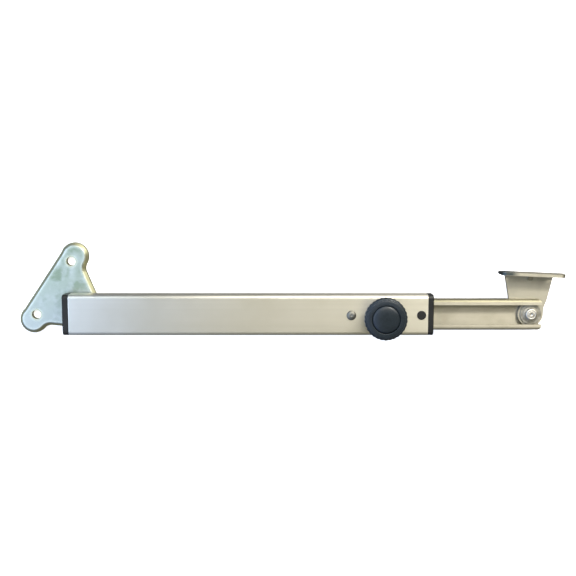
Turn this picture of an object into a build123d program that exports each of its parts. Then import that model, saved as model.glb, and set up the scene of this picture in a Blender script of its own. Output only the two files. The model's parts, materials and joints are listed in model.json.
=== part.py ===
from build123d import *
import os
from math import atan2, cos, degrees, pi, radians, sin

# Telescopic casement window stay, millimetres. +Z is up and runs along the pivots, out through the
# knob; +X runs along the stay from the frame pivot to the sash pivot; +Y points to the sash.
# The origin is midway between the two frame screw holes, on the bracket's seating face.

# Frame bracket
screw_spacing = 40.0
pivot_setback = 27.0            # frame pivot to the line through the screw holes
bracket_turn = 146.0            # from +X to the line pivot to screws, degrees
bracket_thick = 4.0
screw_lobe = 8.6                # lobe radius round each screw hole
lobe_shift = 3.7                # lobes sit this far outside the screw holes
pivot_lobe = 11.0
screw_side_margin = 8.3         # straight edge outside the line through the screw holes
waist_margin = 5.9              # edges outside the lines to the pivot, at the screw lobes
hip_margin = 7.6                # and at the pivot lobe
rear_hip_margin = 11.0         # the same at the pivot on the side away from the sash
waist_round = 6.0               # hollow corners between lobes and edges
bracket_bevel = 2.0
bevel_round = 0.9
frame_screw_radius = 2.75

# Frame pivot
frame_shank_radius = 3.0
frame_head_radius = 5.2
frame_head_thick = 1.8
frame_tail_radius = 4.4
frame_tail_thick = 1.1
tail_washer_thick = 0.6
friction_washer_radius = 9.0
friction_washer_thick = 0.8
inner_washer_radius = 7.0
inner_washer_thick = 0.7

# Outer tube
tube_length = 219.3
tube_wide = 25.0
tube_high = 12.0
tube_wall = 1.2
tube_corner = 2.4
rear_overhang = 11.3            # frame pivot to the tube's rear end
end_round = 0.8

# End cap and guide bush
cap_flange = 3.4
cap_plug = 9.0
cap_wall = 1.4
bush_flange = 3.5
bush_sleeve = 14.0
bush_side_wall = 1.65
bush_flat_wall = 0.65
flange_round = 0.7
peg_radius = 2.75
peg_from_front = 4.0
peg_proud = 0.4

# Inner channel
channel_thick = 1.5
channel_corner = 2.1
channel_reach = 69.5            # tube front to the channel's outer end, closed
channel_end_round = 2.5
lip_wide = 3.5
rear_room = 14.8                # frame rivet head to the glide, closed

# End glide and its rivets
glide_block = 6.0
glide_tongue = 12.0
glide_rivet_radius = 1.5
glide_rivet_head = 2.8
glide_rivet_spacing = 6.0

# Stop rivet
stop_from_front = 46.7
stop_shank_radius = 2.0
stop_head_radius = 2.95
stop_head_thick = 1.3
stop_collar_radius = 2.9

# Clamp
knob_from_front = 27.1
thread_radius = 2.95
thread_pitch = 1.0
knob_turns = 1.0                # from clamped to fully loose
shoe_long = 14.0
shoe_thick = 3.2
shoe_recess = 1.2
ring_radius = 3.2
ring_thick = 0.8
tip_radius = 2.1
groove_radius = 1.6
nut_body_radius = 4.2
nut_flange_thick = 1.3

# Knob, heights above the tube's face
knob_gap = 0.8
knob_radius = 12.8
knob_hub_radius = 8.0
knob_hub_high = 7.0
knob_skirt_high = 11.6          # where the rim starts
knob_rim_high = 17.2            # where the rim ends
step_radius = 11.3
step_drop = 0.9
recess_radius = 8.9
recess_depth = 1.9
cap_radius = 8.3
cap_rise = 2.7
cap_plug_radius = 6.5
cap_plug_deep = 1.0
hex_across_flats = 10.0
hex_thick = 4.0
flute_count = 30
flute_radius = 1.4
flute_depth = 0.3

# Sash pivot
sash_beyond_front = 63.6        # tube front to the sash pivot, closed
sash_shank_radius = 2.5
sash_head_radius = 3.6
sash_head_thick = 1.7
sash_tail_radius = 3.9
sash_tail_thick = 1.1
sash_friction_radius = 6.8
sash_friction_thick = 0.5
flat_washer_radius = 6.5
flat_washer_thick = 0.8
disc_spring_radius = 4.8
disc_spring_thick = 0.45
disc_spring_cone = 0.3

# Sash bracket, in its own directions: along the flange, and out from the pivot to the sash
sash_tilt = -2.5                # flange to +X, degrees
sash_thick = 2.0
tongue_radius = 7.75
flange_reach = 26.0             # pivot to the flange's outer face
flange_left = 21.3
flange_right = 17.5
flange_high = 12.0
flange_corner = 3.0
web_left_out, web_left_in = 18.0, 13.8     # web half-widths at the flange and at the channel
web_right_out, web_right_in = 12.6, 9.2
neck_left = 4.6                 # tongue's half-width behind the channel's lip
neck_round = 1.5
bend_outside = 2.6
bend_inside = 0.8
gusset_along = -2.0
gusset_wide = 3.0
gusset_leg = 3.2
sash_screw_spacing = 26.0
sash_screw_radius = 2.25

# Clearances
run_gap = 0.06                  # turning pins, radial
slide_gap = 0.15                # channel in bush
glide_gap = 0.15                # glide in tube
plug_gap = 0.1                  # cap and bush in the tube
nut_gap = 0.4                   # nut flange to the channel's lips
shoe_gap = 1.0                  # shoe to the channel's side walls
shoe_play = 0.1                 # ring in the shoe's recess
loose_gap = 0.3                 # shoe to nut when fully loose
slot_gap = 0.3                  # tongue to its slot

# Heights
tube_base = bracket_thick + friction_washer_thick
tube_floor = tube_base + tube_wall
tube_face = tube_base + tube_high
tube_roof = tube_face - tube_wall
tube_mid = tube_base + tube_high / 2
channel_base = tube_floor + bush_flat_wall + slide_gap
channel_high = tube_high - 2 * (tube_wall + bush_flat_wall + slide_gap)
channel_floor = channel_base + channel_thick
lip_under = channel_base + channel_high - channel_thick
tongue_base = channel_floor + sash_friction_thick
tongue_top = tongue_base + sash_thick
flat_washer_top = tongue_top + flat_washer_thick
disc_spring_top = flat_washer_top + disc_spring_thick + disc_spring_cone
shoe_top = channel_floor + shoe_thick
clamp_lift = thread_pitch * knob_turns
nut_base = shoe_top + clamp_lift + loose_gap
flange_top = tongue_base + flange_high

# Widths
bore_wide = tube_wide - 2 * tube_wall
bore_high = tube_high - 2 * tube_wall
bore_corner = tube_corner - tube_wall
channel_wide = bore_wide - 2 * (bush_side_wall + slide_gap)
channel_inside = channel_wide - 2 * channel_thick
lip_gap = channel_wide - 2 * lip_wide
nut_flange_radius = lip_gap / 2 - nut_gap

# Places along the stay, from the frame pivot
tube_front = tube_length - rear_overhang
peg_at = tube_front - peg_from_front
knob_at = tube_front - knob_from_front
stop_at = tube_front - stop_from_front
sash_at = tube_front + sash_beyond_front
channel_end = tube_front + channel_reach
glide_rear = frame_head_radius + rear_room
channel_rear = glide_rear + glide_block
glide_front = channel_rear + glide_tongue
slide_travel = stop_at - stop_shank_radius - glide_front

bracket_way = Vector(cos(radians(bracket_turn)), sin(radians(bracket_turn)))
pivot = bracket_way * -pivot_setback
print("frame pivot", pivot.X, pivot.Y, "sash pivot", pivot.X + sash_at, pivot.Y)
print("slide travel", slide_travel, "knob radians per metre of lift", 2000 * pi / thread_pitch)


def level(along, height):
    """Plane seen from above, with its origin on the stay's centre line."""
    return Plane(origin=(pivot.X + along, pivot.Y, height))


def section(along):
    """Plane across the stay, looking along +X, with its origin in the middle of the tube."""
    return Plane(origin=(pivot.X + along, pivot.Y, tube_mid), x_dir=(0, 1, 0), z_dir=(1, 0, 0))


def sash_level(height):
    """Plane seen from above at the sash pivot, turned with the sash bracket."""
    tilt = radians(sash_tilt)
    return Plane(origin=(pivot.X + sash_at, pivot.Y, height), x_dir=(cos(tilt), sin(tilt), 0), z_dir=(0, 0, 1))


def lathe(along, outline, rounds=(), mode=Mode.ADD):
    """Turns an outline of (radius, height) points about an upright axis; rounds are (point, radius)."""
    centre = (pivot.X + along, pivot.Y, 0)
    with BuildSketch(Plane(origin=centre, x_dir=(1, 0, 0), z_dir=(0, -1, 0))) as profile:
        with BuildLine():
            Polyline(*outline, close=True)
        make_face()
        for point, radius in rounds:
            fillet(profile.vertices().sort_by_distance((*point, 0))[0], radius)
    revolve(profile.sketch, axis=Axis(centre, (0, 0, 1)), mode=mode)


def washer(along, base, thick, outer, inner):
    """Flat ring lying at a height."""
    with BuildSketch(level(along, base)) as ring:
        Circle(outer)
        Circle(inner, mode=Mode.SUBTRACT)
    extrude(ring.sketch, amount=thick)


def drill(along, height, radius, depth):
    """Round hole cut from a height, downwards for a negative depth."""
    with BuildSketch(level(along, height)) as hole:
        Circle(radius)
    extrude(hole.sketch, amount=depth, mode=Mode.SUBTRACT)


# ---- frame mount

screw_way = Vector(-bracket_way.Y, bracket_way.X)
screw_a = screw_way * (screw_spacing / 2)
screw_b = screw_way * (-screw_spacing / 2)
lobe_a = screw_a + screw_way * lobe_shift
lobe_b = screw_b - screw_way * lobe_shift
corners = [screw_a, screw_b, pivot]
middle = (screw_a + screw_b + pivot) * (1 / 3)


def edge_strip(start, end, start_margin, end_margin):
    """Strip beside the line between two places, on the side away from the middle."""
    along = (end - start).normalized()
    out = Vector(along.Y, -along.X)
    if out.dot(start - middle) < 0:
        out = out * -1
    strip = (start, end, end + out * end_margin, start + out * start_margin)
    Polygon(*[(p.X, p.Y) for p in strip], align=None)


with BuildPart() as frame_bracket:
    with BuildSketch() as outline:
        Polygon(*[(p.X, p.Y) for p in corners], align=None)
        edge_strip(lobe_a, lobe_b, screw_side_margin, screw_side_margin)
        edge_strip(screw_a, pivot, waist_margin, rear_hip_margin)
        edge_strip(screw_b, pivot, waist_margin, hip_margin)
        for centre, radius in ((lobe_a, screw_lobe), (lobe_b, screw_lobe), (pivot, pivot_lobe)):
            inward = degrees(atan2(middle.Y - centre.Y, middle.X - centre.X))
            with Locations(Location((centre.X, centre.Y, 0), (0, 0, inward))):
                Circle(radius)
        fillet(outline.vertices(), waist_round)
    extrude(amount=bracket_thick)
    top = frame_bracket.faces().sort_by(Axis.Z)[-1]
    chamfer(top.edges(), bracket_bevel)
    rim = frame_bracket.faces().sort_by(Axis.Z)[-1].edges()
    fillet(rim, bevel_round)
    with Locations(*[(p.X, p.Y, bracket_thick) for p in (screw_a, screw_b)]):
        Hole(frame_screw_radius)
    with Locations((pivot.X, pivot.Y, bracket_thick)):
        Hole(frame_shank_radius)
    tail_recess = frame_tail_thick + tail_washer_thick + slot_gap
    drill(0, 0, frame_tail_radius + 1.0, tail_recess)

with BuildPart() as rivet_tail_washer:
    washer(0, tail_recess - tail_washer_thick, tail_washer_thick, frame_tail_radius + 0.7, frame_shank_radius)

with BuildPart() as frame_pivot_rivet:
    head_base = tube_floor + inner_washer_thick
    head_top = head_base + frame_head_thick
    lathe(0, [(0, slot_gap), (frame_tail_radius, slot_gap),
              (frame_tail_radius, slot_gap + frame_tail_thick),
              (frame_shank_radius, slot_gap + frame_tail_thick), (frame_shank_radius, head_base),
              (frame_head_radius, head_base), (frame_head_radius, head_top), (0, head_top)],
          rounds=[((frame_head_radius, head_top), 1.2), ((frame_tail_radius, slot_gap), 0.6)])

# ---- outer tube and what is fixed in it

with BuildPart() as outer_tube:
    with BuildSketch(section(-rear_overhang)):
        RectangleRounded(tube_wide, tube_high, tube_corner)
    extrude(amount=tube_length)
    fillet(outer_tube.faces().sort_by(Axis.X)[0].edges(), end_round)
    with BuildSketch(section(-rear_overhang)):
        RectangleRounded(bore_wide, bore_high, bore_corner)
    extrude(amount=tube_length, mode=Mode.SUBTRACT)
    drill(0, tube_base, frame_shank_radius + run_gap, 2 * tube_wall)
    drill(stop_at, tube_face, stop_shank_radius, -2 * tube_wall)
    drill(knob_at, tube_face, nut_body_radius, -2 * tube_wall)
    drill(peg_at, tube_face, peg_radius + plug_gap, -2 * tube_wall)

with BuildPart() as frame_friction_washer:
    washer(0, bracket_thick, friction_washer_thick, friction_washer_radius, frame_shank_radius + run_gap)

with BuildPart() as frame_inner_washer:
    washer(0, tube_floor, inner_washer_thick, inner_washer_radius, frame_shank_radius + run_gap)

with BuildPart() as rear_end_cap:
    with BuildSketch(section(-rear_overhang)):
        RectangleRounded(tube_wide, tube_high, tube_corner)
    extrude(amount=-cap_flange)
    fillet(rear_end_cap.faces().sort_by(Axis.X)[0].edges(), flange_round)
    with BuildSketch(section(-rear_overhang)):
        RectangleRounded(bore_wide - 2 * plug_gap, bore_high - 2 * plug_gap, bore_corner - plug_gap)
        Rectangle(bore_wide - 2 * plug_gap - 2 * cap_wall, bore_high - 2 * plug_gap - 2 * cap_wall,
                  mode=Mode.SUBTRACT)
    extrude(amount=cap_plug - frame_head_radius)

with BuildPart() as front_guide_bush:
    with BuildSketch(section(tube_front)):
        RectangleRounded(tube_wide, tube_high, tube_corner)
    extrude(amount=bush_flange)
    fillet(front_guide_bush.faces().sort_by(Axis.X)[-1].edges(), flange_round)
    with BuildSketch(section(tube_front)):
        RectangleRounded(bore_wide - 2 * plug_gap, bore_high - 2 * plug_gap, bore_corner - plug_gap)
    extrude(amount=-bush_sleeve)
    with BuildSketch(section(tube_front + bush_flange)):
        RectangleRounded(channel_wide + 2 * slide_gap, channel_high + 2 * slide_gap, channel_corner)
    extrude(amount=-bush_sleeve - bush_flange, mode=Mode.SUBTRACT)
    lathe(peg_at, [(0, tube_roof - bush_flat_wall / 2), (peg_radius, tube_roof - bush_flat_wall / 2),
                   (peg_radius, tube_face + peg_proud), (0, tube_face + peg_proud)],
          rounds=[((peg_radius, tube_face + peg_proud), peg_proud)])

with BuildPart() as stop_rivet:
    collar_base = tube_roof - stop_shank_radius / 3
    shank_base = channel_floor + 2 * loose_gap
    lathe(stop_at, [(0, shank_base), (stop_shank_radius, shank_base), (stop_shank_radius, collar_base),
                    (stop_collar_radius, collar_base), (stop_collar_radius, tube_roof),
                    (stop_shank_radius, tube_roof), (stop_shank_radius, tube_face),
                    (stop_head_radius, tube_face), (stop_head_radius, tube_face + stop_head_thick / 3),
                    (stop_head_radius * 0.6, tube_face + stop_head_thick),
                    (0, tube_face + stop_head_thick)],
          rounds=[((stop_head_radius * 0.6, tube_face + stop_head_thick), stop_head_thick)])

with BuildPart() as clamp_nut:
    bore = thread_radius + run_gap
    flange_base = tube_roof - nut_flange_thick
    lathe(knob_at, [(bore, nut_base), (nut_body_radius, nut_base), (nut_body_radius, flange_base),
                    (nut_flange_radius, flange_base), (nut_flange_radius, tube_roof),
                    (nut_body_radius, tube_roof), (nut_body_radius, tube_face), (bore, tube_face)])

# ---- clamp shoe and knob

with BuildPart() as clamp_shoe:
    with BuildSketch(level(knob_at, channel_floor)):
        RectangleRounded(shoe_long, channel_inside - 2 * shoe_gap, 2.0)
    extrude(amount=shoe_thick)
    chamfer(clamp_shoe.faces().sort_by(Axis.Z)[-1].edges(), 0.4)
    drill(knob_at, shoe_top, tip_radius + run_gap, -shoe_thick)
    drill(knob_at, channel_floor, ring_radius + 2 * slide_gap, shoe_recess)

ring_top = channel_floor + shoe_recess - shoe_play
ring_base = ring_top - ring_thick

with BuildPart() as shoe_retaining_ring:
    washer(knob_at, ring_base, ring_thick, ring_radius, groove_radius)

hex_base = tube_face + knob_rim_high - recess_depth - cap_plug_deep - hex_thick

with BuildPart() as knob_stud:
    tip_end = (ring_base + channel_floor) / 2
    lathe(knob_at, [(0, tip_end), (tip_radius, tip_end), (tip_radius, ring_base), (groove_radius, ring_base),
                    (groove_radius, ring_top), (tip_radius, ring_top), (tip_radius, shoe_top),
                    (thread_radius, shoe_top), (thread_radius, hex_base), (0, hex_base)])
    with BuildSketch(level(knob_at, hex_base)):
        RegularPolygon(hex_across_flats / 2, 6, major_radius=False)
    extrude(amount=hex_thick)

with BuildPart() as knob_body:
    hub_base = tube_face + knob_gap
    hub_top = tube_face + knob_hub_high
    skirt = tube_face + knob_skirt_high
    rim_top = tube_face + knob_rim_high
    ring_floor = rim_top - recess_depth
    lathe(knob_at, [(thread_radius, hub_base), (knob_hub_radius, hub_base), (knob_hub_radius, hub_top),
                    (knob_radius, skirt), (knob_radius, rim_top - step_drop), (step_radius, rim_top - step_drop),
                    (step_radius, rim_top), (recess_radius, rim_top), (recess_radius, ring_floor),
                    (cap_plug_radius, ring_floor), (cap_plug_radius, ring_floor - cap_plug_deep),
                    (thread_radius, ring_floor - cap_plug_deep)],
          rounds=[((knob_radius, rim_top - step_drop), 1.5), ((knob_radius, skirt), 1.2),
                  ((knob_hub_radius, hub_top), 1.5), ((knob_hub_radius, hub_base), 0.6),
                  ((step_radius, rim_top), 0.4), ((recess_radius, rim_top), 0.3)])
    with BuildSketch(level(knob_at, hex_base)):
        RegularPolygon(hex_across_flats / 2, 6, major_radius=False)
    extrude(amount=hex_thick, mode=Mode.SUBTRACT)
    with BuildSketch(level(knob_at, hub_base)):
        with PolarLocations(knob_radius + flute_radius - flute_depth, flute_count):
            Circle(flute_radius)
    extrude(amount=rim_top - hub_base, mode=Mode.SUBTRACT)

with BuildPart() as knob_cap:
    cap_top = ring_floor + cap_rise
    lathe(knob_at, [(0, ring_floor - cap_plug_deep), (cap_plug_radius, ring_floor - cap_plug_deep),
                    (cap_plug_radius, ring_floor), (cap_radius, ring_floor), (cap_radius, cap_top - 0.5),
                    (cap_radius * 0.6, cap_top), (0, cap_top)],
          rounds=[((cap_radius, cap_top - 0.5), 0.9), ((cap_radius * 0.6, cap_top), 12.0)])

# ---- inner channel and what is fixed to it

with BuildPart() as inner_channel:
    channel_long = channel_end - channel_rear
    with BuildSketch(section(channel_rear)):
        RectangleRounded(channel_wide, channel_high, channel_corner)
        RectangleRounded(channel_inside, channel_high - 2 * channel_thick, channel_corner - channel_thick,
                         mode=Mode.SUBTRACT)
        with Locations((0, channel_high / 2)):
            Rectangle(lip_gap, 2 * channel_thick, mode=Mode.SUBTRACT)
    extrude(amount=channel_long)
    with BuildSketch(level(channel_rear + channel_long / 2, channel_base)):
        RectangleRounded(channel_long, channel_wide, channel_end_round)
    extrude(amount=channel_high, mode=Mode.INTERSECT)
    slot_start = sash_at - web_left_in - 4 * slot_gap
    with BuildSketch(Plane(origin=(pivot.X + slot_start, pivot.Y + channel_wide / 2, tongue_base - slot_gap),
                           x_dir=(1, 0, 0), z_dir=(0, -1, 0))):
        Rectangle(channel_end - slot_start + slot_gap, sash_thick + 2 * slot_gap, align=(Align.MIN, Align.MIN))
    extrude(amount=channel_thick + slot_gap, mode=Mode.SUBTRACT)
    drill(sash_at, channel_base, sash_shank_radius, channel_thick)
    rivet_places = [channel_rear + glide_tongue / 2 + s * glide_rivet_spacing / 2 for s in (-1, 1)]
    for place in rivet_places:
        lathe(place, [(0, channel_base), (glide_rivet_radius + channel_thick / 2, channel_base),
                      (glide_rivet_radius, channel_floor), (0, channel_floor)], mode=Mode.SUBTRACT)

with BuildPart() as end_glide:
    with BuildSketch(section(glide_rear)):
        RectangleRounded(bore_wide - 2 * glide_gap, bore_high - 2 * glide_gap, bore_corner)
    extrude(amount=glide_block)
    fillet(end_glide.faces().sort_by(Axis.X)[0].edges(), flange_round)
    with BuildSketch(section(channel_rear)):
        RectangleRounded(channel_inside - 2 * slide_gap, lip_under - channel_floor, channel_corner - channel_thick)
    extrude(amount=glide_tongue)
    for place in rivet_places:
        drill(place, channel_floor, glide_rivet_radius, channel_high)

with BuildPart() as glide_rivets:
    for place in rivet_places:
        lathe(place, [(0, channel_base), (glide_rivet_radius + channel_thick / 2, channel_base),
                      (glide_rivet_radius, channel_floor), (glide_rivet_radius, lip_under),
                      (glide_rivet_head, lip_under), (glide_rivet_head, lip_under + 0.9), (0, lip_under + 0.9)],
              rounds=[((glide_rivet_head, lip_under + 0.9), 0.6)])

with BuildPart() as sash_friction_washer:
    washer(sash_at, channel_floor, sash_friction_thick, sash_friction_radius, sash_shank_radius + run_gap)

with BuildPart() as sash_flat_washer:
    washer(sash_at, tongue_top, flat_washer_thick, flat_washer_radius, sash_shank_radius + run_gap)
    fillet(sash_flat_washer.edges().filter_by(GeomType.CIRCLE).sort_by(Edge.length)[-2:], 0.2)

with BuildPart() as sash_disc_spring:
    inner = sash_shank_radius + run_gap
    lathe(sash_at, [(inner, flat_washer_top + disc_spring_cone), (disc_spring_radius, flat_washer_top),
                    (disc_spring_radius, flat_washer_top + disc_spring_thick), (inner, disc_spring_top)])

with BuildPart() as sash_pivot_rivet:
    sash_head_top = disc_spring_top + sash_head_thick
    tail_base = channel_base - sash_tail_thick
    lathe(sash_at, [(0, tail_base), (sash_tail_radius, tail_base), (sash_tail_radius, channel_base),
                    (sash_shank_radius, channel_base), (sash_shank_radius, disc_spring_top),
                    (sash_head_radius, disc_spring_top), (sash_head_radius, sash_head_top), (0, sash_head_top)],
          rounds=[((sash_head_radius, sash_head_top), 0.9), ((sash_tail_radius, tail_base), 0.7)])

# ---- sash bracket

with BuildPart() as sash_bracket:
    shoulder = channel_wide / 2 - channel_thick + 2 * slot_gap
    with BuildSketch(sash_level(tongue_base)) as plate:
        Circle(tongue_radius)
        Polygon((-web_left_in, shoulder), (-neck_left, shoulder), (-neck_left, 0), (tongue_radius, 0),
                (tongue_radius, shoulder / 2), (web_right_in, shoulder), (web_right_out, flange_reach),
                (-web_left_out, flange_reach), align=None)
        fillet(plate.vertices().sort_by_distance((-neck_left, shoulder, 0))[0], neck_round)
    extrude(amount=sash_thick)
    with BuildSketch(sash_level(tongue_base)):
        with Locations((-flange_left, flange_reach - sash_thick)):
            Rectangle(flange_left + flange_right, sash_thick, align=(Align.MIN, Align.MIN))
    extrude(amount=flange_high)
    out = sash_level(0).y_dir
    outer = sash_bracket.edges().filter_by(Axis(sash_level(0).origin, sash_level(0).x_dir))
    outer_bend = outer.group_by(Axis((0, 0, 0), (0, 0, 1)))[0].sort_by(Axis((0, 0, 0), out))[-1]
    inner_bend = outer.filter_by(lambda e: abs(e.center().Z - tongue_top) < 0.01)
    inner_bend = inner_bend.sort_by(Axis((0, 0, 0), out))[-1]
    fillet(outer_bend, bend_outside)
    fillet(inner_bend, bend_inside)
    with BuildSketch(Plane(origin=sash_level(0).from_local_coords((gusset_along - gusset_wide / 2, 0, 0)),
                           x_dir=out, z_dir=sash_level(0).x_dir)):
        inside = flange_reach - sash_thick
        with BuildLine():
            Polyline((inside, tongue_top), (inside - gusset_leg, tongue_top), (inside, tongue_top + gusset_leg),
                     close=True)
        make_face()
    extrude(amount=gusset_wide)
    ends = sash_bracket.edges().filter_by(Axis((0, 0, 0), out))
    fillet(ends.group_by(Axis.Z)[-1], flange_corner)
    drill(sash_at, tongue_top, sash_shank_radius + run_gap, -sash_thick)
    hole_height = (tongue_top + flange_top) / 2
    flange_middle = (flange_right - flange_left) / 2
    face_centre = sash_level(hole_height).from_local_coords((flange_middle, flange_reach, 0))
    print("flange face centre", tuple(face_centre), "normal", out)
    with BuildSketch(Plane(origin=face_centre, x_dir=sash_level(0).x_dir, z_dir=out)):
        with GridLocations(sash_screw_spacing, 1, 2, 1):
            Circle(sash_screw_radius)
    extrude(amount=-sash_thick, mode=Mode.SUBTRACT)

pieces = {
    "frame_bracket": frame_bracket, "rivet_tail_washer": rivet_tail_washer,
    "frame_pivot_rivet": frame_pivot_rivet, "outer_tube": outer_tube,
    "frame_friction_washer": frame_friction_washer, "frame_inner_washer": frame_inner_washer,
    "rear_end_cap": rear_end_cap, "front_guide_bush": front_guide_bush, "stop_rivet": stop_rivet,
    "clamp_nut": clamp_nut, "clamp_shoe": clamp_shoe, "shoe_retaining_ring": shoe_retaining_ring,
    "knob_stud": knob_stud, "knob_body": knob_body, "knob_cap": knob_cap, "inner_channel": inner_channel,
    "end_glide": end_glide, "glide_rivets": glide_rivets, "sash_friction_washer": sash_friction_washer,
    "sash_flat_washer": sash_flat_washer, "sash_disc_spring": sash_disc_spring,
    "sash_pivot_rivet": sash_pivot_rivet, "sash_bracket": sash_bracket,
}
os.makedirs("parts", exist_ok=True)
for name, piece in pieces.items():
    piece.part.label = name
    export_step(piece.part, f"parts/{name}.step")
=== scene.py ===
import json
import math

import bpy
from mathutils import Matrix, Vector


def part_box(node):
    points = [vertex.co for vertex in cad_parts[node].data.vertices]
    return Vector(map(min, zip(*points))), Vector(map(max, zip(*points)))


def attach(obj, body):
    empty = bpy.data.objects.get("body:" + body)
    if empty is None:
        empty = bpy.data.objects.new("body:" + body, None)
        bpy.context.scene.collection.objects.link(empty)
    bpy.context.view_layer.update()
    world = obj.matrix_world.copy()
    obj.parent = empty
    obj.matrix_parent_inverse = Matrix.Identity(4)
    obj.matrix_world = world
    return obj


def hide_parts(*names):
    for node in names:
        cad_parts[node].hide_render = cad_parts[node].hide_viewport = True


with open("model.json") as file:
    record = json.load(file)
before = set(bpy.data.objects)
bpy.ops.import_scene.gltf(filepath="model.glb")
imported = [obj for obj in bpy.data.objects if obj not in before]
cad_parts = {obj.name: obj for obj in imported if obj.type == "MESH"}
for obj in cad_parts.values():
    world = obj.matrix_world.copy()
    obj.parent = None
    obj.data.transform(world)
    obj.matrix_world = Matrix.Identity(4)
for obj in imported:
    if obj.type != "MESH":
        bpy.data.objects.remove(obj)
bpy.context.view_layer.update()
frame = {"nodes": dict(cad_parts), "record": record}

nodes = frame["nodes"]
scene = bpy.context.scene
mm = 0.001
bpy.ops.object.select_all(action="DESELECT")
print("frame loaded,", len(nodes), "nodes")


# where things are, all from the frame

tubeLow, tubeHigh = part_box("outer_tube")
plateLow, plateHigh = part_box("frame_bracket")
sashLow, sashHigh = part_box("sash_bracket")
faceZ = tubeHigh.z                                   # front face of the tube
midY = (tubeLow.y + tubeHigh.y) / 2                  # centre line of the stay


# camera, straight at the stay's face, tipped a little towards the sash

view = {
    "aimAlong": 134.1 * mm,       # from the tube's rear end
    "aimAcross": 16.8 * mm,       # from the centre line, towards the sash
    "distance": 560 * mm,
    "tip": math.radians(7.3),
    "lens": 57.8,
}


def addCamera():
    aim = Vector((tubeLow.x + view["aimAlong"], midY + view["aimAcross"], faceZ))
    back = Vector((0, math.sin(view["tip"]), math.cos(view["tip"])))
    right = Vector((1, 0, 0))
    data = bpy.data.cameras.new("camera")
    data.lens = view["lens"]
    data.sensor_width = 36
    data.clip_start = 0.01
    data.clip_end = 20
    cam = bpy.data.objects.new("camera", data)
    turn = Matrix((right, back.cross(right), back)).transposed().to_4x4()
    cam.matrix_world = Matrix.Translation(aim + back * view["distance"]) @ turn
    scene.collection.objects.link(cam)
    scene.camera = cam


addCamera()
print("camera in place")


# shader helpers

def addNode(tree, kind, **values):
    node = tree.nodes.new(kind)
    for name, value in values.items():
        setattr(node, name, value)
    return node


def newGroup(name, inputs, outputs):
    group = bpy.data.node_groups.new(name, "ShaderNodeTree")
    for label, kind, value in inputs:
        socket = group.interface.new_socket(label, in_out="INPUT", socket_type=kind)
        if value is not None:
            socket.default_value = value
    for label, kind in outputs:
        group.interface.new_socket(label, in_out="OUTPUT", socket_type=kind)
    return group, group.nodes.new("NodeGroupInput"), group.nodes.new("NodeGroupOutput")


def makeGrain():          # drawn lines along one direction, plus slow waviness across the sheet
    floatIn, vectorIn = "NodeSocketFloat", "NodeSocketVector"
    group, into, out = newGroup(
        "drawnGrain",
        [("Vector", vectorIn, None), ("Along", floatIn, 6.0), ("Across", floatIn, 1400.0),
         ("Seed", floatIn, 0.0)],
        [("Lines", floatIn), ("Streaks", floatIn)])
    split = addNode(group, "ShaderNodeSeparateXYZ")
    group.links.new(into.outputs["Vector"], split.inputs[0])
    for label, coarse, detail in (("Lines", 1.0, 2.0), ("Streaks", 0.12, 3.0)):
        join = addNode(group, "ShaderNodeCombineXYZ")
        for axis, scale in (("X", "Along"), ("Y", "Across"), ("Z", "Across")):
            times = addNode(group, "ShaderNodeMath", operation="MULTIPLY")
            group.links.new(split.outputs[axis], times.inputs[0])
            group.links.new(into.outputs[scale], times.inputs[1])
            shift = addNode(group, "ShaderNodeMath", operation="MULTIPLY_ADD")
            group.links.new(times.outputs[0], shift.inputs[0])
            shift.inputs[1].default_value = coarse
            group.links.new(into.outputs["Seed"], shift.inputs[2])
            group.links.new(shift.outputs[0], join.inputs[axis])
        noise = addNode(group, "ShaderNodeTexNoise")
        noise.inputs["Scale"].default_value = 1.0
        noise.inputs["Detail"].default_value = detail
        group.links.new(join.outputs[0], noise.inputs["Vector"])
        group.links.new(noise.outputs[0], out.inputs[label])
    return group


def makeEdgeWearAndPaintedLight():        # 1 on sharp edges, 0 on flats; Mask is broken up by a fine noise, Whole isn't; used for rubbed edges and also for painted shade and painted highlight along edges
    floatIn = "NodeSocketFloat"
    group, into, out = newGroup(
        "edgeWearAndPaintedLight",
        [("Vector", "NodeSocketVector", None), ("Width", floatIn, 0.5 * mm), ("Break", floatIn, 900.0)],
        [("Mask", floatIn), ("Whole", floatIn)])
    bevel = addNode(group, "ShaderNodeBevel", samples=6)
    geometry = addNode(group, "ShaderNodeNewGeometry")
    dot = addNode(group, "ShaderNodeVectorMath", operation="DOT_PRODUCT")
    spread = addNode(group, "ShaderNodeMapRange")
    noise = addNode(group, "ShaderNodeTexNoise")
    mixed = addNode(group, "ShaderNodeMath", operation="MULTIPLY")
    group.links.new(into.outputs["Width"], bevel.inputs["Radius"])
    group.links.new(bevel.outputs[0], dot.inputs[0])
    group.links.new(geometry.outputs["Normal"], dot.inputs[1])
    group.links.new(dot.outputs["Value"], spread.inputs["Value"])
    spread.inputs["From Min"].default_value = 0.995
    spread.inputs["From Max"].default_value = 0.88
    group.links.new(into.outputs["Vector"], noise.inputs["Vector"])
    group.links.new(into.outputs["Break"], noise.inputs["Scale"])
    group.links.new(spread.outputs[0], mixed.inputs[0])
    group.links.new(noise.outputs[0], mixed.inputs[1])
    group.links.new(mixed.outputs[0], out.inputs["Mask"])
    group.links.new(spread.outputs[0], out.inputs["Whole"])
    return group


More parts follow.
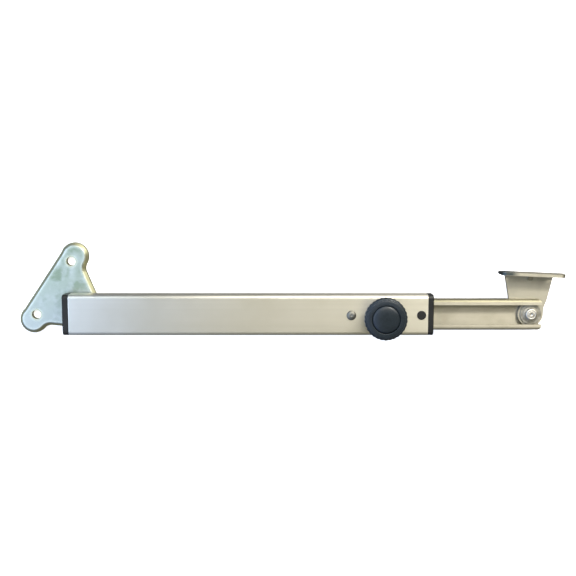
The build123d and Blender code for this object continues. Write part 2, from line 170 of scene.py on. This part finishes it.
def makeBlotch():         # slow patches for handling marks, plating clouds and mould flow
    floatIn = "NodeSocketFloat"
    group, into, out = newGroup(
        "blotch", [("Vector", "NodeSocketVector", None), ("Size", floatIn, 60.0), ("Low", floatIn, 0.35),
                   ("High", floatIn, 0.7)],
        [("Mask", floatIn)])
    noise = addNode(group, "ShaderNodeTexNoise")
    noise.inputs["Detail"].default_value = 5.0
    spread = addNode(group, "ShaderNodeMapRange", interpolation_type="SMOOTHSTEP")
    group.links.new(into.outputs["Vector"], noise.inputs["Vector"])
    group.links.new(into.outputs["Size"], noise.inputs["Scale"])
    group.links.new(noise.outputs[0], spread.inputs["Value"])
    group.links.new(into.outputs["Low"], spread.inputs["From Min"])
    group.links.new(into.outputs["High"], spread.inputs["From Max"])
    group.links.new(spread.outputs[0], out.inputs["Mask"])
    return group


drawnGrain = makeGrain()
edgeWearAndPaintedLight = makeEdgeWearAndPaintedLight()
blotch = makeBlotch()


def startMaterial(name, **plain):
    material = bpy.data.materials.new(name)
    material.use_nodes = True
    tree = material.node_tree
    shader = tree.nodes["Principled BSDF"]
    for socket, value in plain.items():
        shader.inputs[socket.replace("_", " ")].default_value = value
    place = addNode(tree, "ShaderNodeTexCoord").outputs["Object"]
    return material, tree, shader, place


def useGroup(tree, group, place, **values):
    node = addNode(tree, "ShaderNodeGroup", node_tree=group)
    tree.links.new(place, node.inputs["Vector"])
    for label, value in values.items():
        node.inputs[label].default_value = value
    return node


def mixColour(tree, mask, first, second):
    mix = addNode(tree, "ShaderNodeMix", data_type="RGBA")
    tree.links.new(mask, mix.inputs[0])
    for index, colour in ((6, first), (7, second)):
        if isinstance(colour, tuple):
            mix.inputs[index].default_value = (*colour, 1)
        else:
            tree.links.new(colour, mix.inputs[index])
    return mix.outputs[2]


def spreadValue(tree, value, low, high, fromLow=0.3, fromHigh=0.7):
    spread = addNode(tree, "ShaderNodeMapRange")
    tree.links.new(value, spread.inputs["Value"])
    spread.inputs["From Min"].default_value = fromLow
    spread.inputs["From Max"].default_value = fromHigh
    spread.inputs["To Min"].default_value = low
    spread.inputs["To Max"].default_value = high
    return spread.outputs[0]


def addBump(tree, shader, height, strength, distance):
    bump = addNode(tree, "ShaderNodeBump")
    bump.inputs["Strength"].default_value = strength
    bump.inputs["Distance"].default_value = distance
    tree.links.new(height, bump.inputs["Height"])
    tree.links.new(bump.outputs[0], shader.inputs["Normal"])


def drawnSteel(name, look):            # light spreads across the brushing, which runs along the stay
    material, tree, shader, place = startMaterial(name, Metallic=1.0, Anisotropic=look["spread"])
    tangent = addNode(tree, "ShaderNodeTangent", direction_type="RADIAL", axis="X")
    tree.links.new(tangent.outputs[0], shader.inputs["Tangent"])
    grain = useGroup(tree, drawnGrain, place, Along=look["along"], Across=look["across"], Seed=look["seed"])
    marks = useGroup(tree, blotch, place, Size=look["markSize"], Low=0.45, High=0.75)
    rubAndPaintedLight = useGroup(tree, edgeWearAndPaintedLight, place, Width=look.get("edgeWidth", 0.4 * mm))
    colour = mixColour(tree, grain.outputs["Streaks"], look["dark"], look["light"])
    colour = mixColour(tree, marks.outputs["Mask"], colour, look["mark"])
    if "side" in look:                 # faces towards the sash painted darker: painted shade
        facing = addNode(tree, "ShaderNodeSeparateXYZ")
        tree.links.new(addNode(tree, "ShaderNodeNewGeometry").outputs["Normal"], facing.inputs[0])
        sideways = spreadValue(tree, facing.outputs["Y"], 0.0, 1.0, *look["sideTurn"])
        colour = mixColour(tree, sideways, colour, look["side"])
    if "paintedReflection" in look:                # painted dark reflection at the end of the flange
        split = addNode(tree, "ShaderNodeSeparateXYZ")
        tree.links.new(place, split.inputs[0])
        (endX, clearX), (baseY, fullY) = look["paintedReflectionX"], look["paintedReflectionY"]
        paintedReflectionMask = addNode(tree, "ShaderNodeMath", operation="MULTIPLY")
        tree.links.new(spreadValue(tree, split.outputs["X"], 1.0, 0.0, endX, clearX), paintedReflectionMask.inputs[0])
        tree.links.new(spreadValue(tree, split.outputs["Y"], 0.0, 1.0, baseY, fullY), paintedReflectionMask.inputs[1])
        colour = mixColour(tree, paintedReflectionMask.outputs[0], colour, look["paintedReflection"])
    colour = mixColour(tree, rubAndPaintedLight.outputs[look.get("edgeMask", "Mask")], colour, look["edge"])
    tree.links.new(colour, shader.inputs["Base Color"])
    rough = spreadValue(tree, grain.outputs["Lines"], look["smooth"], look["rough"])
    tree.links.new(rough, shader.inputs["Roughness"])
    addBump(tree, shader, grain.outputs["Lines"], look["depth"], 0.02 * mm)
    return material


def zincPlate():          # passivated plating, with a rolled rim tinted olive (partly the plating's edge tint, partly painted shade) and a painted highlight line just inside it
    look = {
        "plate": (0.375, 0.43, 0.35), "cloud": (0.47, 0.515, 0.46), "green": (0.26, 0.32, 0.23),
        "rear": (0.48, 0.505, 0.48), "rim": (0.56, 0.56, 0.36), "line": (0.70, 0.75, 0.70),
        "rearShare": 0.8, "rearReach": 34 * mm, "rimWidth": 3.4 * mm, "lineShare": 3.2,
    }
    material, tree, shader, place = startMaterial("zincPlate", Metallic=1.0)
    clouds = useGroup(tree, blotch, place, Size=95.0, Low=0.4, High=0.62)
    greens = useGroup(tree, blotch, place, Size=120.0, Low=0.45, High=0.68)
    speckle = useGroup(tree, blotch, place, Size=1500.0, Low=0.3, High=0.7)
    split = addNode(tree, "ShaderNodeSeparateXYZ")
    tree.links.new(place, split.inputs[0])
    rearEnd = plateLow.y + look["rearReach"]
    rear = spreadValue(tree, split.outputs["Y"], look["rearShare"], 0.0, plateLow.y, rearEnd)
    below = spreadValue(tree, split.outputs["Z"], 1.0, 0.0, plateHigh.z - 0.5 * mm, plateHigh.z - 0.1 * mm)
    edge = useGroup(tree, edgeWearAndPaintedLight, place, Width=look["rimWidth"])
    rim = addNode(tree, "ShaderNodeMath", operation="MAXIMUM")
    tree.links.new(edge.outputs["Whole"], rim.inputs[0])
    tree.links.new(below, rim.inputs[1])
    inside = addNode(tree, "ShaderNodeMath", operation="SUBTRACT")
    inside.inputs[0].default_value = 1.0
    tree.links.new(rim.outputs[0], inside.inputs[1])
    line = addNode(tree, "ShaderNodeMath", operation="MULTIPLY")
    tree.links.new(rim.outputs[0], line.inputs[0])
    tree.links.new(inside.outputs[0], line.inputs[1])
    colour = mixColour(tree, clouds.outputs["Mask"], look["plate"], look["cloud"])
    colour = mixColour(tree, greens.outputs["Mask"], colour, look["green"])
    colour = mixColour(tree, rear, colour, look["rear"])
    # olive rim: partly the plating's yellowish edge tint, partly painted shade on the rim's bevel
    colour = mixColour(tree, rim.outputs[0], colour, look["rim"])
    # pale line just inside the rim: painted highlight
    share = spreadValue(tree, line.outputs[0], 0.0, 1.0, 0.0, 1 / look["lineShare"])
    colour = mixColour(tree, share, colour, look["line"])
    tree.links.new(colour, shader.inputs["Base Color"])
    rough = spreadValue(tree, speckle.outputs["Mask"], 0.36, 0.5, 0.0, 1.0)
    tree.links.new(rough, shader.inputs["Roughness"])
    addBump(tree, shader, speckle.outputs["Mask"], 0.15, 0.02 * mm)
    return material


def rivetSteel(name, look):            # blotched and slightly pitted
    material, tree, shader, place = startMaterial(name, Metallic=1.0)
    marks = useGroup(tree, blotch, place, Size=420.0, Low=0.35, High=0.65)
    pits = useGroup(tree, blotch, place, Size=2600.0, Low=0.4, High=0.7)
    rubAndPaintedLight = useGroup(tree, edgeWearAndPaintedLight, place, Width=0.3 * mm)
    colour = mixColour(tree, marks.outputs["Mask"], look["dark"], look["light"])
    colour = mixColour(tree, rubAndPaintedLight.outputs["Mask"], colour, look["edge"])
    tree.links.new(colour, shader.inputs["Base Color"])
    rough = spreadValue(tree, marks.outputs["Mask"], 0.44, 0.58, 0.0, 1.0)
    tree.links.new(rough, shader.inputs["Roughness"])
    addBump(tree, shader, pits.outputs["Mask"], 0.15, 0.02 * mm)
    return material


def mouldedPlastic(name, look):        # fine mould texture, paler on edges: worn edges, and on the knob a painted highlight
    material, tree, shader, place = startMaterial(name, Metallic=0.0, Specular_IOR_Level=look["shine"])
    flow = useGroup(tree, blotch, place, Size=110.0, Low=0.3, High=0.7)
    spark = useGroup(tree, blotch, place, Size=look["textureSize"], Low=0.3, High=0.7)
    rubAndPaintedLight = useGroup(tree, edgeWearAndPaintedLight, place, Width=0.35 * mm)
    colour = mixColour(tree, flow.outputs["Mask"], look["dark"], look["light"])
    colour = mixColour(tree, rubAndPaintedLight.outputs["Mask"], colour, look["edge"])
    tree.links.new(colour, shader.inputs["Base Color"])
    rough = spreadValue(tree, spark.outputs["Mask"], look["smooth"], look["rough"], 0.0, 1.0)
    tree.links.new(rough, shader.inputs["Roughness"])
    addBump(tree, shader, spark.outputs["Mask"], look["depth"], 0.03 * mm)
    return material


def brassPad():
    material, tree, shader, place = startMaterial("brassPad", Metallic=1.0)
    grain = useGroup(tree, drawnGrain, place, Along=40.0, Across=900.0, Seed=7.0)
    colour = mixColour(tree, grain.outputs["Streaks"], (0.55, 0.39, 0.14), (0.72, 0.55, 0.24))
    tree.links.new(colour, shader.inputs["Base Color"])
    tree.links.new(spreadValue(tree, grain.outputs["Lines"], 0.25, 0.4), shader.inputs["Roughness"])
    addBump(tree, shader, grain.outputs["Lines"], 0.2, 0.02 * mm)
    return material


finishes = {                           # one for each slot, and more for the sash's rivet, washers and plate
    "satin_steel": drawnSteel("satinSteel", {
        "dark": (0.60, 0.585, 0.515), "light": (0.66, 0.64, 0.565), "mark": (0.59, 0.57, 0.49),
        "edge": (0.80, 0.79, 0.75), "along": 9.0, "across": 4200.0, "seed": 0.0, "markSize": 25.0,
        "smooth": 0.34, "rough": 0.42, "depth": 0.25, "spread": 0.75}),
    # the dark colour for faces towards the sash is painted shade
    "channel_steel": drawnSteel("channelSteel", {
        "dark": (0.42, 0.40, 0.335), "light": (0.485, 0.465, 0.395), "mark": (0.385, 0.365, 0.30),
        "edge": (0.46, 0.45, 0.39), "side": (0.18, 0.17, 0.12), "sideTurn": (0.01, 0.25), "along": 11.0,
        "across": 2600.0, "seed": 3.0, "markSize": 70.0, "smooth": 0.40, "rough": 0.50, "depth": 0.3,
        "spread": 0.7}),
    "zinc_plate": zincPlate(),
    # darker copy of the rivet steel for the stop rivet: painted shade
    "rivet_steel": rivetSteel("rivetSteel", {
        "dark": (0.15, 0.15, 0.13), "light": (0.23, 0.225, 0.195), "edge": (0.30, 0.29, 0.25)}),
    "bright_rivet": rivetSteel("brightRivet", {
        "dark": (0.48, 0.46, 0.405), "light": (0.60, 0.575, 0.51), "edge": (0.72, 0.70, 0.62)}),
    # near-black edge colour: painted shadow round the washers' rims
    "washer_steel": rivetSteel("washerSteel", {
        "dark": (0.34, 0.325, 0.28), "light": (0.44, 0.42, 0.36), "edge": (0.04, 0.04, 0.045)}),
    "sash_steel": drawnSteel("sashSteel", {
        "dark": (0.44, 0.42, 0.34), "light": (0.51, 0.485, 0.40), "mark": (0.40, 0.38, 0.31),
        # dark edge colour with the unbroken mask: painted shade along the plate's edges
        "edge": (0.26, 0.245, 0.205), "edgeMask": "Whole", "edgeWidth": 0.7 * mm, "along": 14.0,
        "across": 2200.0, "seed": 5.0, "markSize": 80.0, "smooth": 0.46, "rough": 0.58, "depth": 0.3,
        "spread": 0.3,
        # dark end of the flange: a painted dark reflection
        "paintedReflection": (0.07, 0.085, 0.085), "paintedReflectionX": (sashLow.x + 6 * mm, sashLow.x + 11 * mm),
        "paintedReflectionY": (sashHigh.y - 2.7 * mm, sashHigh.y - 2.1 * mm)}),
    "black_plastic": mouldedPlastic("blackPlastic", {
        "dark": (0.010, 0.010, 0.010), "light": (0.016, 0.016, 0.015), "edge": (0.04, 0.04, 0.04),
        "textureSize": 2200.0, "smooth": 0.38, "rough": 0.5, "depth": 0.15, "shine": 0.28}),
    # the knob's pale edge colour is a painted highlight on its rim and cap edge
    "knob_plastic": mouldedPlastic("knobPlastic", {
        "dark": (0.009, 0.014, 0.018), "light": (0.014, 0.020, 0.026), "edge": (0.085, 0.100, 0.105),
        "textureSize": 2600.0, "smooth": 0.26, "rough": 0.36, "depth": 0.10, "shine": 0.34}),
    "nylon": mouldedPlastic("nylon", {
        "dark": (0.62, 0.60, 0.53), "light": (0.70, 0.68, 0.61), "edge": (0.75, 0.74, 0.70),
        "textureSize": 1800.0, "smooth": 0.45, "rough": 0.55, "depth": 0.1, "shine": 0.5}),
    "brass_pad": brassPad(),
}
slotOf = {part["node"]: part["material_slot"] for part in frame["record"]["subparts"]}
finishOf = {"sash_flat_washer": "washer_steel", "sash_disc_spring": "washer_steel"}
for name, node in nodes.items():
    for slot in node.material_slots:
        slot.material = finishes[finishOf.get(name, slotOf[name])]
print("finishes assigned")


# helpers for modelling in edit mode

def clearSelection():
    if bpy.context.object and bpy.context.object.mode == "EDIT":
        bpy.ops.object.mode_set(mode="OBJECT")
    bpy.ops.object.select_all(action="DESELECT")


def pickOnly(piece):
    clearSelection()
    piece.select_set(True)
    bpy.context.view_layer.objects.active = piece


def startEdit(piece):
    pickOnly(piece)
    bpy.ops.object.mode_set(mode="EDIT")
    bpy.ops.mesh.select_all(action="SELECT")


def selectVerts(piece, wanted):
    bpy.ops.mesh.select_mode(type="VERT")
    bpy.ops.mesh.select_all(action="DESELECT")
    bpy.ops.object.mode_set(mode="OBJECT")
    for vert in piece.data.vertices:
        vert.select = wanted(vert.co)
    bpy.ops.object.mode_set(mode="EDIT")


def placePiece(piece):                 # leaves the object at the origin, with its place in its mesh
    pickOnly(piece)
    bpy.ops.object.transform_apply(location=True, rotation=True, scale=True)


def smoothShade(piece, angle):         # edges sharper than the angle stay crisp
    pickOnly(piece)
    bpy.ops.object.shade_smooth_by_angle(angle=math.radians(angle))


def roundEdges(piece, width, segments, angle):
    pickOnly(piece)
    bevel = piece.modifiers.new("roundedEdges", "BEVEL")
    bevel.width = width
    bevel.segments = segments
    bevel.limit_method = "ANGLE"
    bevel.angle_limit = math.radians(angle)
    bevel.use_clamp_overlap = True
    bpy.ops.object.modifier_apply(modifier=bevel.name)
    smoothShade(piece, 35)
    even = piece.modifiers.new("evenNormals", "WEIGHTED_NORMAL")
    even.keep_sharp = True
    even.weight = 100
    bpy.ops.object.modifier_apply(modifier=even.name)


def finishPiece(piece, slot, body, *replaced, finish=None):
    piece.data.materials.clear()
    piece.data.materials.append(finishes[finish or slot])
    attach(piece, body)
    if replaced:
        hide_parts(*replaced)
    clearSelection()
    print(piece.name, len(piece.data.polygons), "faces")


def turnPiece(name, centre, rings, steps=64):
    clearSelection()
    radius, height = rings[0]
    bpy.ops.mesh.primitive_circle_add(vertices=steps, radius=radius, fill_type="NGON",
                                      location=(centre.x, centre.y, height))
    piece = bpy.context.object
    piece.name = piece.data.name = name
    startEdit(piece)
    for nextRadius, nextHeight in rings[1:]:
        bpy.ops.mesh.extrude_region_move(TRANSFORM_OT_translate={"value": (0, 0, nextHeight - height)})
        if nextRadius == 0:
            bpy.ops.mesh.merge(type="CENTER")
        else:
            ratio = nextRadius / radius
            bpy.ops.transform.resize(value=(ratio, ratio, 1),
                                     center_override=(centre.x, centre.y, nextHeight))
        radius, height = nextRadius, nextHeight
    bpy.ops.object.mode_set(mode="OBJECT")
    placePiece(piece)
    startEdit(piece)
    bpy.ops.mesh.normals_make_consistent(inside=False)
    bpy.ops.object.mode_set(mode="OBJECT")
    return piece


def copyNode(name, node):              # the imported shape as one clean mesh, to be worked on
    piece = bpy.data.objects.new(name, nodes[node].data.copy())
    scene.collection.objects.link(piece)
    piece.data.name = name
    startEdit(piece)
    bpy.ops.mesh.customdata_custom_splitnormals_clear()
    bpy.ops.mesh.remove_doubles(threshold=0.002 * mm)
    bpy.ops.mesh.dissolve_limited(angle_limit=math.radians(0.5))
    bpy.ops.object.mode_set(mode="OBJECT")
    return piece


def middleOf(node):
    low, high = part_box(node)
    return (low + high) / 2


# knob, a moulded grip with a pressed-in cap

knob = {                               # heights are from the tube's front face
    "rimRadius": 12.8 * mm, "hubRadius": 8.0 * mm, "hubBase": 0.8 * mm, "hubTop": 6.0 * mm,
    "rimBase": 11.6 * mm, "rimTop": 17.2 * mm, "stepRadius": 11.3 * mm, "stepDrop": 0.9 * mm,
    "wellRadius": 8.5 * mm, "wellDepth": 1.9 * mm, "plugRadius": 6.5 * mm,
    "flutes": 30, "fluteSteps": 8, "fluteDepth": 0.25 * mm,
}
cap = {"radius": 8.3 * mm, "rise": 2.7 * mm, "edgeRound": 1.3 * mm, "crown": 0.6 * mm}


def addKnobGrip():
    centre = middleOf("knob_body")
    low = faceZ + knob["hubBase"]
    hubTop, rimBase, rimTop = faceZ + knob["hubTop"], faceZ + knob["rimBase"], faceZ + knob["rimTop"]
    rimStep, wellFloor = rimTop - knob["stepDrop"], rimTop - knob["wellDepth"]
    hub, wide, step, well = knob["hubRadius"], knob["rimRadius"], knob["stepRadius"], knob["wellRadius"]
    rings = [
        (hub - 0.5 * mm, low), (hub, low + 0.5 * mm),                                   # hub
        (hub, hubTop), (hub + 0.25 * mm, hubTop + 0.7 * mm), (hub + 0.9 * mm, hubTop + 1.5 * mm),
        (wide - 1.3 * mm, rimBase - 0.9 * mm), (wide - 0.45 * mm, rimBase - 0.2 * mm),          # flare, rim
        (wide - 0.1 * mm, rimBase + 0.4 * mm), (wide, rimBase + 1.1 * mm),
        (wide, rimStep - 1.4 * mm), (wide - 0.1 * mm, rimStep - 0.85 * mm),
        (wide - 0.4 * mm, rimStep - 0.4 * mm), (wide - 0.85 * mm, rimStep - 0.1 * mm),
        (wide - 1.2 * mm, rimStep), (step + 0.12 * mm, rimStep),                        # step
        (step, rimStep + 0.12 * mm), (step, rimTop - 0.4 * mm),
        (step - 0.12 * mm, rimTop - 0.12 * mm), (step - 0.4 * mm, rimTop),
        (well + 0.25 * mm, rimTop), (well, rimTop - 0.25 * mm),                         # well for the cap
        (well, wellFloor), (knob["plugRadius"], wellFloor),
    ]
    grip = turnPiece("knobGrip", centre, rings, knob["flutes"] * knob["fluteSteps"])
    startEdit(grip)
    for phases, share in (((0,), 1.0), ((1, 7), 0.72), ((2, 6), 0.3)):      # pressed-in grooves of the rim

        def onFlute(place):
            away = Vector((place.x - centre.x, place.y - centre.y))
            turn = math.atan2(away.y, away.x) / (2 * math.pi) * knob["flutes"] * knob["fluteSteps"]
            return (round(turn) % knob["fluteSteps"] in phases and away.length > wide - 0.95 * mm
                    and place.z > rimBase - 0.4 * mm and place.z < rimStep - 0.3 * mm)

        selectVerts(grip, onFlute)
        ratio = 1 - share * knob["fluteDepth"] / wide
        bpy.ops.transform.resize(value=(ratio, ratio, 1), center_override=(centre.x, centre.y, rimTop))
    bpy.ops.object.mode_set(mode="OBJECT")
    smoothShade(grip, 40)
    finishPiece(grip, "knob_plastic", "knob", "knob_body")


def addKnobCap():
    centre = middleOf("knob_cap")
    base = faceZ + knob["rimTop"] - knob["wellDepth"]
    top = base + cap["rise"]
    edge, radius, crown = cap["edgeRound"], cap["radius"], cap["crown"]
    shoulder = top - crown
    rings = [
        (knob["plugRadius"], base - 0.9 * mm), (knob["plugRadius"], base), (radius - 0.15 * mm, base),
        (radius, base + 0.15 * mm), (radius, shoulder - edge), (radius - edge * 0.13, shoulder - edge * 0.5),
        (radius - edge * 0.5, shoulder - edge * 0.13), (radius - edge, shoulder),
        (radius * 0.72, top - crown * 0.5), (radius * 0.45, top - crown * 0.18),
        (radius * 0.2, top - crown * 0.03), (0, top),
    ]
    disc = turnPiece("knobCap", centre, rings, 96)
    smoothShade(disc, 50)
    finishPiece(disc, "knob_plastic", "knob", "knob_cap")


addKnobGrip()
addKnobCap()


# rivets, each with the mark of the tool that spun its head

rivets = {
    "stopHead": {"radius": 2.95 * mm, "thick": 1.3 * mm, "dimple": 0.7 * mm, "shank": 1.95 * mm,
                 "collar": 2.85 * mm, "collarThick": 0.6 * mm, "wall": 1.2 * mm},
    "sashHead": {"radius": 3.6 * mm, "dimple": 0.55 * mm, "ring": 2.3 * mm, "shank": 2.5 * mm},
}


def addStopRivet():
    centre = middleOf("stop_rivet")
    low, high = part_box("stop_rivet")
    head = rivets["stopHead"]
    radius, dimple, top, base = head["radius"], head["dimple"], high.z, high.z - head["thick"]
    shank, collar, roof = head["shank"], head["collar"], faceZ - head["wall"]
    rings = [
        (shank - 0.2 * mm, low.z), (shank, low.z + 0.2 * mm), (shank, roof - head["collarThick"]),
        (collar, roof - head["collarThick"]), (collar, roof), (shank, roof), (shank, base),
        (radius - 0.1 * mm, base), (radius, base + 0.12 * mm), (radius * 0.97, base + 0.4 * mm),
        (radius * 0.86, base + 0.8 * mm), (radius * 0.7, base + 1.08 * mm), (radius * 0.5, base + 1.24 * mm),
        (radius * 0.3, top), (dimple, top), (dimple * 0.7, top - 0.12 * mm),
        (dimple * 0.35, top - 0.2 * mm), (0, top - 0.22 * mm),
    ]
    rivet = turnPiece("stopRivet", centre, rings)
    smoothShade(rivet, 45)
    finishPiece(rivet, "rivet_steel", "case", "stop_rivet")


def addSashRivet():
    centre = middleOf("sash_pivot_rivet")
    low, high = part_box("sash_pivot_rivet")
    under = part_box("sash_disc_spring")[1].z
    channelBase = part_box("inner_channel")[0].z
    tail = (high.x - low.x) / 2
    head = rivets["sashHead"]
    radius, shank, ring, dimple, top = head["radius"], head["shank"], head["ring"], head["dimple"], high.z
    rings = [
        (0.9 * mm, low.z + 0.25 * mm), (1.3 * mm, low.z), (tail - 0.7 * mm, low.z),     # tail
        (tail - 0.2 * mm, low.z + 0.2 * mm), (tail, low.z + 0.7 * mm), (tail, channelBase),
        (shank, channelBase), (shank, under), (radius, under),                          # shank
        (radius, top - 0.75 * mm), (radius - 0.1 * mm, top - 0.4 * mm),                 # head
        (radius - 0.4 * mm, top - 0.12 * mm), (radius - 0.85 * mm, top), (ring + 0.12 * mm, top),
        (ring, top - 0.1 * mm), (ring - 0.16 * mm, top - 0.1 * mm), (ring - 0.3 * mm, top - 0.02 * mm),
        (dimple + 0.3 * mm, top - 0.05 * mm), (dimple, top - 0.14 * mm),
        (dimple * 0.5, top - 0.4 * mm), (0, top - 0.46 * mm),
    ]
    rivet = turnPiece("sashPivotRivet", centre, rings)
    smoothShade(rivet, 45)
    finishPiece(rivet, "rivet_steel", "arm", "sash_pivot_rivet", finish="bright_rivet")


addStopRivet()
addSashRivet()


# frame plate and sash plate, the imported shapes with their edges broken

plates = {
    "frame": {"cornerRound": 0.25 * mm, "segments": 2},
    "sash": {"cornerRound": 0.4 * mm, "segments": 3},
    "sharpAngle": 40,
}


def addFramePlate():
    piece = copyNode("framePlate", "frame_bracket")
    roundEdges(piece, plates["frame"]["cornerRound"], plates["frame"]["segments"], plates["sharpAngle"])
    finishPiece(piece, "zinc_plate", "frame_mount", "frame_bracket")


def addSashPlate():
    piece = copyNode("sashPlate", "sash_bracket")
    roundEdges(piece, plates["sash"]["cornerRound"], plates["sash"]["segments"], plates["sharpAngle"])
    finishPiece(piece, "channel_steel", "sash", "sash_bracket", finish="sash_steel")


addFramePlate()
addSashPlate()


# floor, lights and surroundings

lights = {
    "key": {"place": (0.66, 0.56, 0.56), "aim": (0.66, 0.0, 0.0), "size": (1.30, 0.90), "power": 12.0,
            "colour": (1.0, 0.97, 0.92)},
    "coolPanel": {"place": (-0.50, 0.02, 0.45), "aim": (0.0, 0.0, 0.0), "size": (0.45, 0.9), "power": 2.6,
                  "colour": (0.72, 0.87, 1.0)},
    "spot": {"place": (0.44, 0.38, 0.44), "aim": (0.20, 0.0, 0.0), "size": (0.10, 0.10), "power": 2.6,
             "colour": (1.0, 0.95, 0.85)},
    "sideFill": {"place": (-0.16, 0.36, 0.42), "aim": (0.20, 0.0, 0.0), "size": (0.22, 0.22), "power": 0.5,
                 "colour": (0.84, 0.96, 1.0)},
}
surround = {
    "tints": (                         # along X, from the bracket's side to the sash's
        (0.24, (1.45, 1.90, 3.20)), (0.31, (1.05, 1.15, 1.20)), (0.37, (1.20, 1.12, 0.80)),
        (0.46, (0.98, 0.93, 0.71)), (0.60, (0.70, 0.65, 0.45)),
    ),
    "overhead": 0.56, "horizon": 0.17, "low": 0.25, "high": 0.93, "toCamera": 0.95,
}
floorLook = {
    "size": 24, "drop": 0.3 * mm, "colour": (0.9, 0.9, 0.9, 1), "shine": 0.05, "glow": 0.72, "toMetal": 0.16,
}


def addLights():
    for name, spec in lights.items():
        data = bpy.data.lights.new(name, "AREA")
        data.shape = "RECTANGLE"
        data.size, data.size_y = spec["size"]
        data.energy = spec["power"]
        data.color = spec["colour"]
        lamp = bpy.data.objects.new(name, data)
        place = Vector(spec["place"])
        facing = (Vector(spec["aim"]) - place).to_track_quat("-Z", "Y")
        lamp.matrix_world = Matrix.Translation(place) @ facing.to_matrix().to_4x4()
        scene.collection.objects.link(lamp)


def addSurround():         # tinted for the metal, plain for the camera
    world = bpy.data.worlds.new("surround")
    scene.world = world
    world.use_nodes = True
    tree = world.node_tree
    back = tree.nodes["Background"]
    coords = addNode(tree, "ShaderNodeTexCoord")
    split = addNode(tree, "ShaderNodeSeparateXYZ")
    ramp = addNode(tree, "ShaderNodeValToRGB")
    tree.links.new(coords.outputs["Generated"], split.inputs[0])
    value = spreadValue(tree, split.outputs["X"], 0.0, 1.0, -0.5, 0.5)
    tree.links.new(value, ramp.inputs[0])
    stops = ramp.color_ramp.elements
    for place, tint in surround["tints"][2:]:
        stops.new(place)
    for stop, (place, tint) in zip(stops, surround["tints"]):
        stop.position, stop.color = place, (*tint, 1)
    tree.links.new(ramp.outputs[0], back.inputs[0])
    height = addNode(tree, "ShaderNodeMapRange", interpolation_type="SMOOTHSTEP")
    tree.links.new(split.outputs["Z"], height.inputs["Value"])
    height.inputs["From Min"].default_value = surround["low"]
    height.inputs["From Max"].default_value = surround["high"]
    height.inputs["To Min"].default_value = surround["horizon"]
    height.inputs["To Max"].default_value = surround["overhead"]
    tree.links.new(height.outputs[0], back.inputs[1])
    plain = addNode(tree, "ShaderNodeBackground")
    plain.inputs[1].default_value = surround["toCamera"]
    rays = addNode(tree, "ShaderNodeLightPath")
    seen = addNode(tree, "ShaderNodeMixShader")
    tree.links.new(rays.outputs["Is Camera Ray"], seen.inputs[0])
    tree.links.new(back.outputs[0], seen.inputs[1])
    tree.links.new(plain.outputs[0], seen.inputs[2])
    tree.links.new(seen.outputs[0], tree.nodes["World Output"].inputs["Surface"])


def addFloor():            # glows pale for the camera, stays dull in the metal
    clearSelection()
    middleX = (tubeLow.x + tubeHigh.x) / 2
    bpy.ops.mesh.primitive_plane_add(size=floorLook["size"], location=(middleX, 0, -floorLook["drop"]))
    floor = bpy.context.object
    floor.name = "floor"
    material, tree, shader, _ = startMaterial(
        "paleFloor", Roughness=0.9, Base_Color=floorLook["colour"], Specular_IOR_Level=floorLook["shine"])
    rays = addNode(tree, "ShaderNodeLightPath")
    glow = addNode(tree, "ShaderNodeEmission")
    glow.inputs["Strength"].default_value = floorLook["glow"]
    dull = addNode(tree, "ShaderNodeEmission")
    dull.inputs["Strength"].default_value = floorLook["toMetal"]
    both = addNode(tree, "ShaderNodeAddShader")
    tree.links.new(shader.outputs[0], both.inputs[0])
    tree.links.new(glow.outputs[0], both.inputs[1])
    seen = addNode(tree, "ShaderNodeMixShader")
    tree.links.new(rays.outputs["Is Glossy Ray"], seen.inputs[0])
    tree.links.new(both.outputs[0], seen.inputs[1])
    tree.links.new(dull.outputs[0], seen.inputs[2])
    tree.links.new(seen.outputs[0], tree.nodes["Material Output"].inputs["Surface"])
    floor.data.materials.append(material)


addLights()
addSurround()
addFloor()
scene.view_settings.view_transform = "Standard"
scene.view_settings.look = "None"
print("lights and floor in place")
